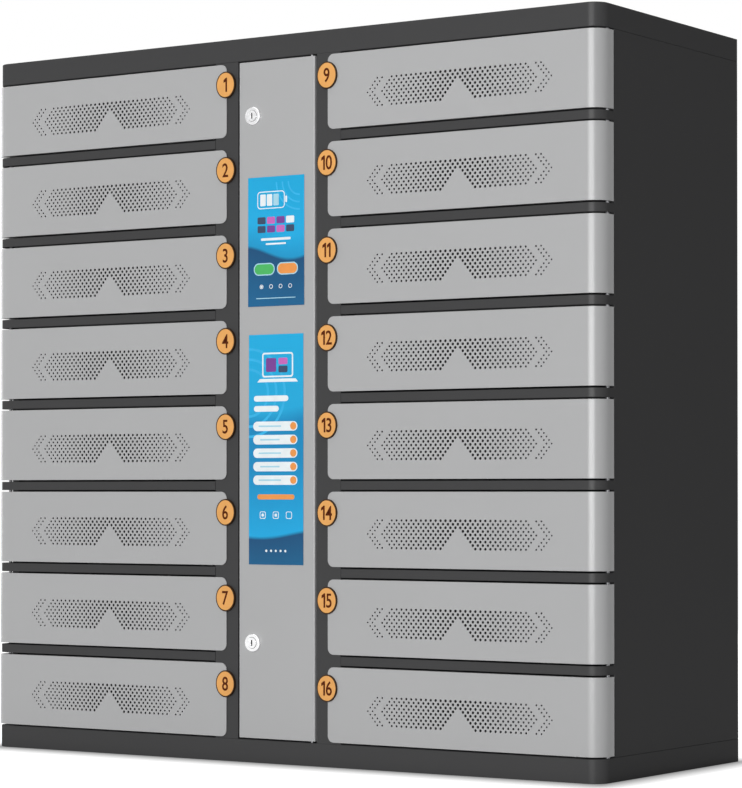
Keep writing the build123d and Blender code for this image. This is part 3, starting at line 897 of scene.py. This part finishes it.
def make_screen_print():
    art = Print("screen", "touch_screen", "service_door")
    # Rings spreading from the upper right corner
    for radius in (20, 30, 40):
        art.shape("print_cyan", 1, arc_band(40, 170, radius, radius - 2.2, 180, 270))
    # Battery outline with three bars, lying on its side
    art.frame("print_white", 2, rounded(-8, 146, 46, 24, 5), rounded(-8, 146, 43.4, 21.4, 3.8))
    art.shape("print_white", 2, rounded(17.4, 146, 3, 9, 1.2))
    for x, color in ((-21.5, "print_white"), (-10.5, "print_white"), (0.5, "print_pale")):
        art.shape(color, 2, rounded(x, 146, 9, 16, 1.5))
    # Tiles like the cabinet's own bays
    tiles = (
        "print_navy", "print_pink", "print_violet", "print_white",
        "print_navy", "print_violet", "print_pink", "print_navy",
    )
    for index, color in enumerate(tiles):
        column, row = index % 4, index // 4
        art.shape(color, 2, rounded(-24 + 16 * column, 118 - 12 * row, 13.5, 9.5, 1.8))
    # Two short bars under the tiles
    art.shape("print_white", 2, rounded(0, 92, 50, 3.4, 1.7), rounded(0, 85.5, 34, 2.4, 1.2))
    # Buttons side by side
    for x, color in ((-19.5, "print_green"), (19.5, "print_orange")):
        art.shape("print_pale", 2, rounded(x, 51, 35, 17, 8))
        art.shape(color, 3, rounded(x, 51, 32, 14, 6.8))
    # Four state dots, one of them filled
    for index in range(4):
        x = -24 + 16 * index
        art.frame("print_white", 2, circle(x, 27, 3), circle(x, 27, 2.1))
    art.shape("print_white", 2, circle(-24, 27, 1.5, 24))
    # Rule along the foot
    art.shape("print_pale", 2, rounded(0, 11, 66, 1.1, 0.5))
    art.build()


def make_panel_print():
    art = Print("panel", "graphic_panel", "service_door")
    # Broad rings behind everything
    for radius in (34, 48, 62):
        art.shape("print_cyan", 1, arc_band(-45.5, 236, radius, radius - 3.5, -90, 90))
    # Laptop in outline, with three tiles on its screen
    art.frame("print_white", 2, rounded(3, 274, 52, 34, 4), rounded(3, 274, 47.5, 29.5, 2.4))
    art.shape("print_white", 2, [(-31, 250.5), (37, 250.5), (33, 255), (-27, 255)])
    art.shape("print_violet", 2, rounded(-8, 274, 17, 19, 2))
    art.shape("print_pink", 2, rounded(12, 279, 15, 9, 2))
    art.shape("print_navy", 2, rounded(12, 268, 15, 9, 2))
    # Two broad bars where a heading would be
    art.shape("print_white", 2, rounded(-8, 228, 58, 8, 4), rounded(-16, 214, 42, 8, 4))
    # Five white strips, each with an orange disc at its right end
    for index in range(5):
        z = 190 - 18.5 * index
        art.shape("print_white", 2, rounded(-1, z, 74, 13, 6.4))
        art.shape("print_orange", 3, circle(29.2, z, 5.2, 32))
        art.shape("print_pale", 3, rounded(-10, z, 38 - 5 * (index % 2), 2.2, 1.1))
    # Orange bar, three small squares and five dots along the foot
    art.shape("print_orange", 2, rounded(0, 93, 62, 7, 3.4))
    for index in range(3):
        x = -22 + 22 * index
        art.frame("print_white", 2, rounded(x, 68, 10, 10, 2.4), rounded(x, 68, 8, 8, 1.6))
    art.shape("print_white", 2, circle(-22, 68, 2.2, 24), rounded(0, 68, 4, 4, 0.8))
    for index in range(5):
        art.shape("print_white", 2, circle(-16 + 8 * index, 19, 1.7, 20))
    art.build()


# Screws

def screw_mesh(diameter, height):
    """A pan-head screw with a cross recess, seated on the plane y = 0 and facing forwards."""
    radius = diameter / 2
    profile = (
        (0, -height),
        (0.55 * radius, -0.97 * height),
        (0.85 * radius, -0.8 * height),
        (radius, -0.4 * height),
        (radius, 0),
        (0, 0),
    )
    arm, half = 0.55 * radius, 0.12 * radius
    cross = [
        (half, half), (arm, half), (arm, -half), (half, -half),
        (half, -arm), (-half, -arm), (-half, -half), (-arm, -half),
        (-arm, half), (-half, half), (-half, arm), (half, arm),
    ]
    head = mesh_of("head", turned(profile, 24, (0, 0, 0)))
    recess = mesh_of("recess", lambda made: prism(made, cross, -2 * height, -0.35 * height))
    return cut(head, recess)


def add_screws(name, body, size, places):
    """Screws at places given as (x, y, z, turn about the upright in degrees)."""
    screw = screw_mesh(*size)
    made = bmesh.new()
    for x, y, z, turn in places:
        copy = screw.copy()
        copy.transform(Matrix.Rotation(math.radians(turn), 4, "Z"))
        copy.transform(Matrix.Translation((x * MM, y * MM, z * MM)))
        made.from_mesh(copy)
    mesh = bpy.data.meshes.new(name)
    made.to_mesh(mesh)
    made.free()
    smooth(mesh, 50)
    add_piece(name, mesh, body, ["pin_steel"])


def make_screws():
    rear = node_sides("back_panel").back
    places = []
    for node, (inset, lowest, pitch, count) in PANEL_SCREW_ROWS.items():
        x = node_sides(node).right - inset
        places += [(s * x, rear, lowest + pitch * i, 180) for s in (-1, 1) for i in range(count)]
    add_screws("panel_screws", "carcass", PANEL_SCREW, places)

    plate = node_sides("charging_outlets")
    middle = (plate.front + plate.back) / 2
    places = []
    for number in DOORS:
        door = node_sides(f"door_{number:02d}")
        hand = -1 if number <= ROWS else 1
        for shift in (-OUTLET_SCREW_REACH, OUTLET_SCREW_REACH):
            z = (door.bottom + door.top) / 2
            places.append((hand * plate.right, middle + shift, z, hand * 90))
    add_screws("outlet_screws", "carcass", OUTLET_SCREW, places)

    sheet_face = node_sides("electronics_tray").back - TRAY_SHEET
    places = [(s * TRAY_SCREW_X, sheet_face, z, 0) for s in (-1, 1) for z in TRAY_SCREW_HEIGHTS]
    board = node_sides("control_board")
    face = board.front + BOARD_DEPTH
    inset = BOARD_SCREW_INSET
    places += [(x, face, z, 0) for x, z in corners(board, inset, inset)]
    add_screws("tray_screws", "carcass", TRAY_SCREW, places)

    module = node_sides("display_module")
    inset = MODULE_SCREW_INSET
    places = [(x, module.back, z, 180) for x, z in corners(module, inset, inset)]
    add_screws("module_screws", "service_door", MODULE_SCREW, places)


# Power supplies and control board

def make_supplies():
    """Vents cut in the four cases, and a row of screw terminals at the foot of each."""
    sides = node_sides("power_supplies")
    front = sides.front
    half_width, half_height = (size / 2 for size in SUPPLY_SIZE)
    centres = corners(sides, half_width, half_height)

    def vents(made):
        for x, z in centres:
            for row in range(VENT_ROWS):
                odd = row % 2
                for column in range(VENT_COLUMNS - odd):
                    across = (column - (VENT_COLUMNS - 1 - odd) / 2) * VENT_PITCH[0]
                    up = (row - (VENT_ROWS - 1) / 2) * VENT_PITCH[1]
                    hole = circle(x + across, z + VENT_RISE + up, VENT_RADIUS, 10)
                    prism(made, hole, front + VENT_FROM, front + VENT_TO)
    mesh = cut(clean_copy("power_supplies", CASE_EDGE), mesh_of("vents", vents))
    smooth(mesh)
    add_piece(
        "vented_supplies", mesh, "carcass", ["supply_case"], ["power_supplies"]
    )

    half = TERMINAL_WIDTH / 2
    step = (TERMINAL_WIDTH - TOOTH_WIDTH) / (TERMINAL_TEETH - 1)
    tip, seat = front + TOOTH_DEPTH, front + TERMINAL_SEAT_DEPTH
    back = front + TERMINAL_BACK_DEPTH

    def comb(made):
        for x, z in centres:
            foot = z - half_height
            outline = [(x - half, back)]
            for tooth in range(TERMINAL_TEETH):
                start = x - half + tooth * step
                outline += [(start, tip), (start + TOOTH_WIDTH, tip)]
                if tooth < TERMINAL_TEETH - 1:
                    outline += [(start + TOOTH_WIDTH, seat), (start + step, seat)]
            outline.append((x + half, back))
            prism(made, outline, foot + TERMINAL_LOW, foot + TERMINAL_HIGH, "Z")
    mesh = mesh_of("blocks", comb)
    smooth(mesh)
    add_piece("supply_terminals", mesh, "carcass", ["black_plastic"])
    first = (TOOTH_WIDTH + step) / 2 - half
    rise = (TERMINAL_LOW + TERMINAL_HIGH) / 2 - half_height
    places = [
        (x + first + gap * step, seat, z + rise, 0)
        for x, z in centres for gap in range(TERMINAL_TEETH - 1)
    ]
    add_screws("terminal_screws", "carcass", TERMINAL_SCREW, places)


def make_board_parts():
    """Two columns of plugs, four chips, a heat sink and six capacitors on the board's face."""
    sides = node_sides("control_board")
    face = sides.front + BOARD_DEPTH
    middle = (sides.bottom + sides.top) / 2

    def plugs(made):
        plug_face = face - PLUG_SIZE[1]
        for hand in (-1, 1):
            for index in range(ROWS):
                x = hand * (sides.right - PLUG_INSET)
                z = middle + (index - (ROWS - 1) / 2) * PLUG_PITCH
                block(made, (x, (face + plug_face) / 2, z), PLUG_SIZE)
                for shift in (-PLUG_LATCH_SHIFT, PLUG_LATCH_SHIFT):
                    y = plug_face - PLUG_LATCH_SIZE[1] / 2
                    block(made, (x, y, z + shift), PLUG_LATCH_SIZE)
    mesh = bevelled("plugs", plugs, 0.4)
    add_piece("board_plugs", mesh, "carcass", ["nylon_white"])

    def chips(made):
        for x, up, size in CHIPS:
            block(made, (x, face - size[1] / 2, middle + up), size)
    mesh = bevelled("chips", chips, 0.3)
    add_piece("board_chips", mesh, "carcass", ["black_plastic"])

    def sink(made):
        tips, root = face - SINK_HEIGHT, face - SINK_BASE
        outline = [(SINK_LEFT, face)]
        for fin in range(FINS):
            start = SINK_LEFT + fin * FIN_PITCH
            if fin:
                outline += [(start - FIN_PITCH + FIN_WIDTH, root), (start, root)]
            outline += [(start, tips), (start + FIN_WIDTH, tips)]
        outline.append((start + FIN_WIDTH, face))
        prism(made, outline, middle + SINK_LOW, middle + SINK_HIGH, "Z")
    mesh = bevelled("sink", sink, 0.2)
    add_piece("board_heat_sink", mesh, "carcass", ["black_anodised"])

    profile = (
        (0, -15.2), (4.6, -15.2), (5.6, -14.8), (6.2, -14), (6.2, -2.4), (5.8, -2),
        (6.2, -1.4), (6.2, 0), (0, 0),
    )

    def cans(made):
        for x, up in CAPACITORS:
            turned(profile, 28, (x, face, middle + up))(made)
    mesh = mesh_of("cans", cans)
    smooth(mesh, 40)
    add_piece("board_capacitors", mesh, "carcass", ["capacitor_sleeve"])


# Joint seal and lock details

def make_panel_seal():
    """Rubber profile that fills the joint all round the back panel."""
    sides = node_sides("back_panel")
    section = (
        (PANEL_JOINT, sides.front), (0, sides.front), (0, sides.back), (PANEL_JOINT, sides.back),
    )

    def ring(made):
        rings = [
            [made.verts.new((x, y, z)) for x, z in corners(sides, -joint, -joint)]
            for joint, y in section
        ]
        for first, second in zip(rings, rings[1:] + rings[:1]):
            for i in range(4):
                j = (i + 1) % 4
                made.faces.new((first[i], first[j], second[j], second[i]))
    mesh = mesh_of("seal", ring)
    add_piece("back_panel_seal", mesh, "carcass", ["seal_rubber"])


def make_lock_details():
    """A dark key profile down in each plug's slot as painted shade in its depths, a plain steel
    cam behind it, and a thin dark ring as painted shade in the gap where the plug meets its
    collar."""
    places = []
    profile = [
        (-1.08, -3.98), (1.08, -3.98), (1.08, -0.9), (0.5, -0.6), (0.5, 0.6), (1.08, 0.9),
        (1.08, 3.98), (-1.08, 3.98), (-1.08, 2.6), (-0.6, 2.4), (-0.6, 1.6), (-1.08, 1.4),
    ]
    for level in ("upper", "lower"):
        name = f"key_lock_{level}"
        sides = node_sides(name)
        mesh = nodes[name].data
        mesh.materials.append(MATERIALS["pin_steel"])
        for polygon in mesh.polygons:
            if polygon.center.y > (sides.back - CAM_REACH) * MM:
                polygon.material_index = 1
        x, z = (sides.left + sides.right) / 2, sides.top - (sides.right - sides.left) / 2
        places.append((x, z))
        # Painted shade: a dark profile fills the slot where its depths fall into shade
        outline = [(x + across, z + up) for across, up in profile]
        near, far = sides.front + KEYWAY_SHADE_DEPTH, sides.front + KEYWAY_SHADE_END
        mesh = mesh_of("profile", lambda made: prism(made, outline, near, far))
        add_piece(f"keyway_shade_{level}", mesh, name, ["seal_rubber"])
    # Thin dark rings at each plug's edge, painted shade for the gap between plug and collar
    # The section ends where it starts, so its double points are removed
    face = node_sides("lock_collars").front
    section = ((7.6, -0.1), (7.85, -0.1), (7.95, 0), (7.95, 0.3), (7.6, 0.3), (7.6, -0.1))

    def lips(made):
        for x, z in places:
            turned(section, 48, (x, face, z))(made)
        bmesh.ops.remove_doubles(made, verts=made.verts, dist=0.0005)
    mesh = mesh_of("lips", lips)
    smooth(mesh)
    add_piece("lock_shade_rings", mesh, "service_door", ["seal_rubber"])


# Lights, world, floor and camera

def add_area(name, place, aim, width, height, radiance):
    """A lamp that lights the scene without showing in it."""
    data = bpy.data.lights.new(name, "AREA")
    data.shape = "RECTANGLE"
    data.size = width
    data.size_y = height
    data.energy = radiance * math.pi * width * height
    light = bpy.data.objects.new(name, data)
    bpy.context.scene.collection.objects.link(light)
    light.location = place
    light.visible_camera = False
    light.rotation_euler = (Vector(aim) - Vector(place)).to_track_quat("-Z", "Y").to_euler()


def seen_by_lens(tree):
    """1 on rays from the camera, off gloss and through glass, 0 on the rays that light things."""
    path = add_node(tree, "ShaderNodeLightPath")
    total = path.outputs["Is Camera Ray"]
    for name in ("Is Glossy Ray", "Is Transmission Ray"):
        total = math_node(tree, "MAXIMUM", total, path.outputs[name])
    return total


def contact_shade(tree):
    """Painted shadow: 1 on the open floor, falling towards the foot of the cabinet."""
    low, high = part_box("base_pan")
    axes = object_axes(tree)
    beyond = add_node(tree, "ShaderNodeCombineXYZ")
    for axis, squeeze in (("X", PAINTED_SHADOW_SQUEEZE), ("Y", 1.0)):
        near, far = (getattr(corner, axis.lower()) for corner in (low, high))
        shifted = math_node(tree, "SUBTRACT", axes[axis], (near + far) / 2)
        span = math_node(tree, "ABSOLUTE", shifted)
        outside = math_node(tree, "SUBTRACT", span, (far - near) / 2)
        kept = math_node(tree, "MAXIMUM", outside, 0.0)
        tree.links.new(math_node(tree, "MULTIPLY", kept, squeeze), beyond.inputs[axis])
    distance = add_node(tree, "ShaderNodeVectorMath", operation="LENGTH")
    tree.links.new(beyond.outputs["Vector"], distance.inputs[0])
    return spread_range(tree, distance.outputs["Value"], PAINTED_SHADOW_AT_FOOT, 1.0, 0.0, PAINTED_SHADOW_REACH)


def make_world():
    """White where the camera sees it, and faint where it lights things."""
    world = bpy.data.worlds.new("world")
    world.use_nodes = True
    tree = world.node_tree
    background = tree.nodes["Background"]
    set_socket(background, "Color", (1, 1, 1, 1))
    level = spread_range(tree, seen_by_lens(tree), WORLD_LIGHT, 1.0, 0.0, 1.0)
    tree.links.new(level, background.inputs["Strength"])
    bpy.context.scene.world = world


def floor_material():
    """Pale and matte, with a glow for the camera alone, and painted shadow near the cabinet."""
    material = bpy.data.materials.new("floor")
    material.use_nodes = True
    tree = material.node_tree
    tree.nodes.remove(tree.nodes["Principled BSDF"])
    # Painted shadow that darkens the floor's colour and its glow near the cabinet
    painted_shadow = contact_shade(tree)
    matte = add_node(tree, "ShaderNodeBsdfDiffuse")
    tree.links.new(math_node(tree, "MULTIPLY", painted_shadow, FLOOR_COLOR), matte.inputs["Color"])
    glow = add_node(tree, "ShaderNodeEmission")
    strength = math_node(tree, "MULTIPLY", painted_shadow, FLOOR_GLOW)
    seen = math_node(tree, "MULTIPLY", seen_by_lens(tree), strength)
    tree.links.new(seen, glow.inputs["Strength"])
    both = add_node(tree, "ShaderNodeAddShader")
    tree.links.new(matte.outputs["BSDF"], both.inputs[0])
    tree.links.new(glow.outputs["Emission"], both.inputs[1])
    tree.links.new(both.outputs["Shader"], tree.nodes["Material Output"].inputs["Surface"])
    return material


def make_floor():
    half = FLOOR_HALF
    corners = [(-half, -half, 0), (half, -half, 0), (half, half, 0), (-half, half, 0)]
    mesh = bpy.data.meshes.new("floor")
    mesh.from_pydata(corners, [], [(0, 1, 2, 3)])
    mesh.materials.append(floor_material())
    floor = bpy.data.objects.new("floor", mesh)
    bpy.context.scene.collection.objects.link(floor)
    floor.location.z = -FLOOR_DROP


def make_camera():
    """A nearly level camera to the right of the cabinet's front, with a slightly shifted lens."""
    data = bpy.data.cameras.new("camera")
    camera = bpy.data.objects.new("camera", data)
    bpy.context.scene.collection.objects.link(camera)
    data.sensor_width = CAMERA_SENSOR
    data.lens = CAMERA_LENS
    data.shift_x, data.shift_y = CAMERA_SHIFT
    data.clip_end = CAMERA_REACH
    camera.location = CAMERA_PLACE
    camera.rotation_euler = (math.radians(CAMERA_TILT), 0, math.radians(CAMERA_YAW))
    bpy.context.scene.camera = camera


def dress_nodes():
    """The material of its slot on every carried-over part, and small rounded edges on most."""
    for entry in frame["record"]["subparts"]:
        node = nodes[entry["node"]]
        node.data.materials.clear()
        node.data.materials.append(MATERIALS[entry["material_slot"]])
    for width, names in SOFT_EDGES:
        for name in names:
            soften(nodes[name], width)


make_camera()
make_world()
make_floor()
for lamp in LAMPS:
    add_area(*lamp)
bpy.context.scene.view_settings.view_transform = "Standard"
dress_nodes()
make_doors()
make_discs()
make_screen_print()
make_panel_print()
make_screws()
make_supplies()
make_board_parts()
make_panel_seal()
make_lock_details()
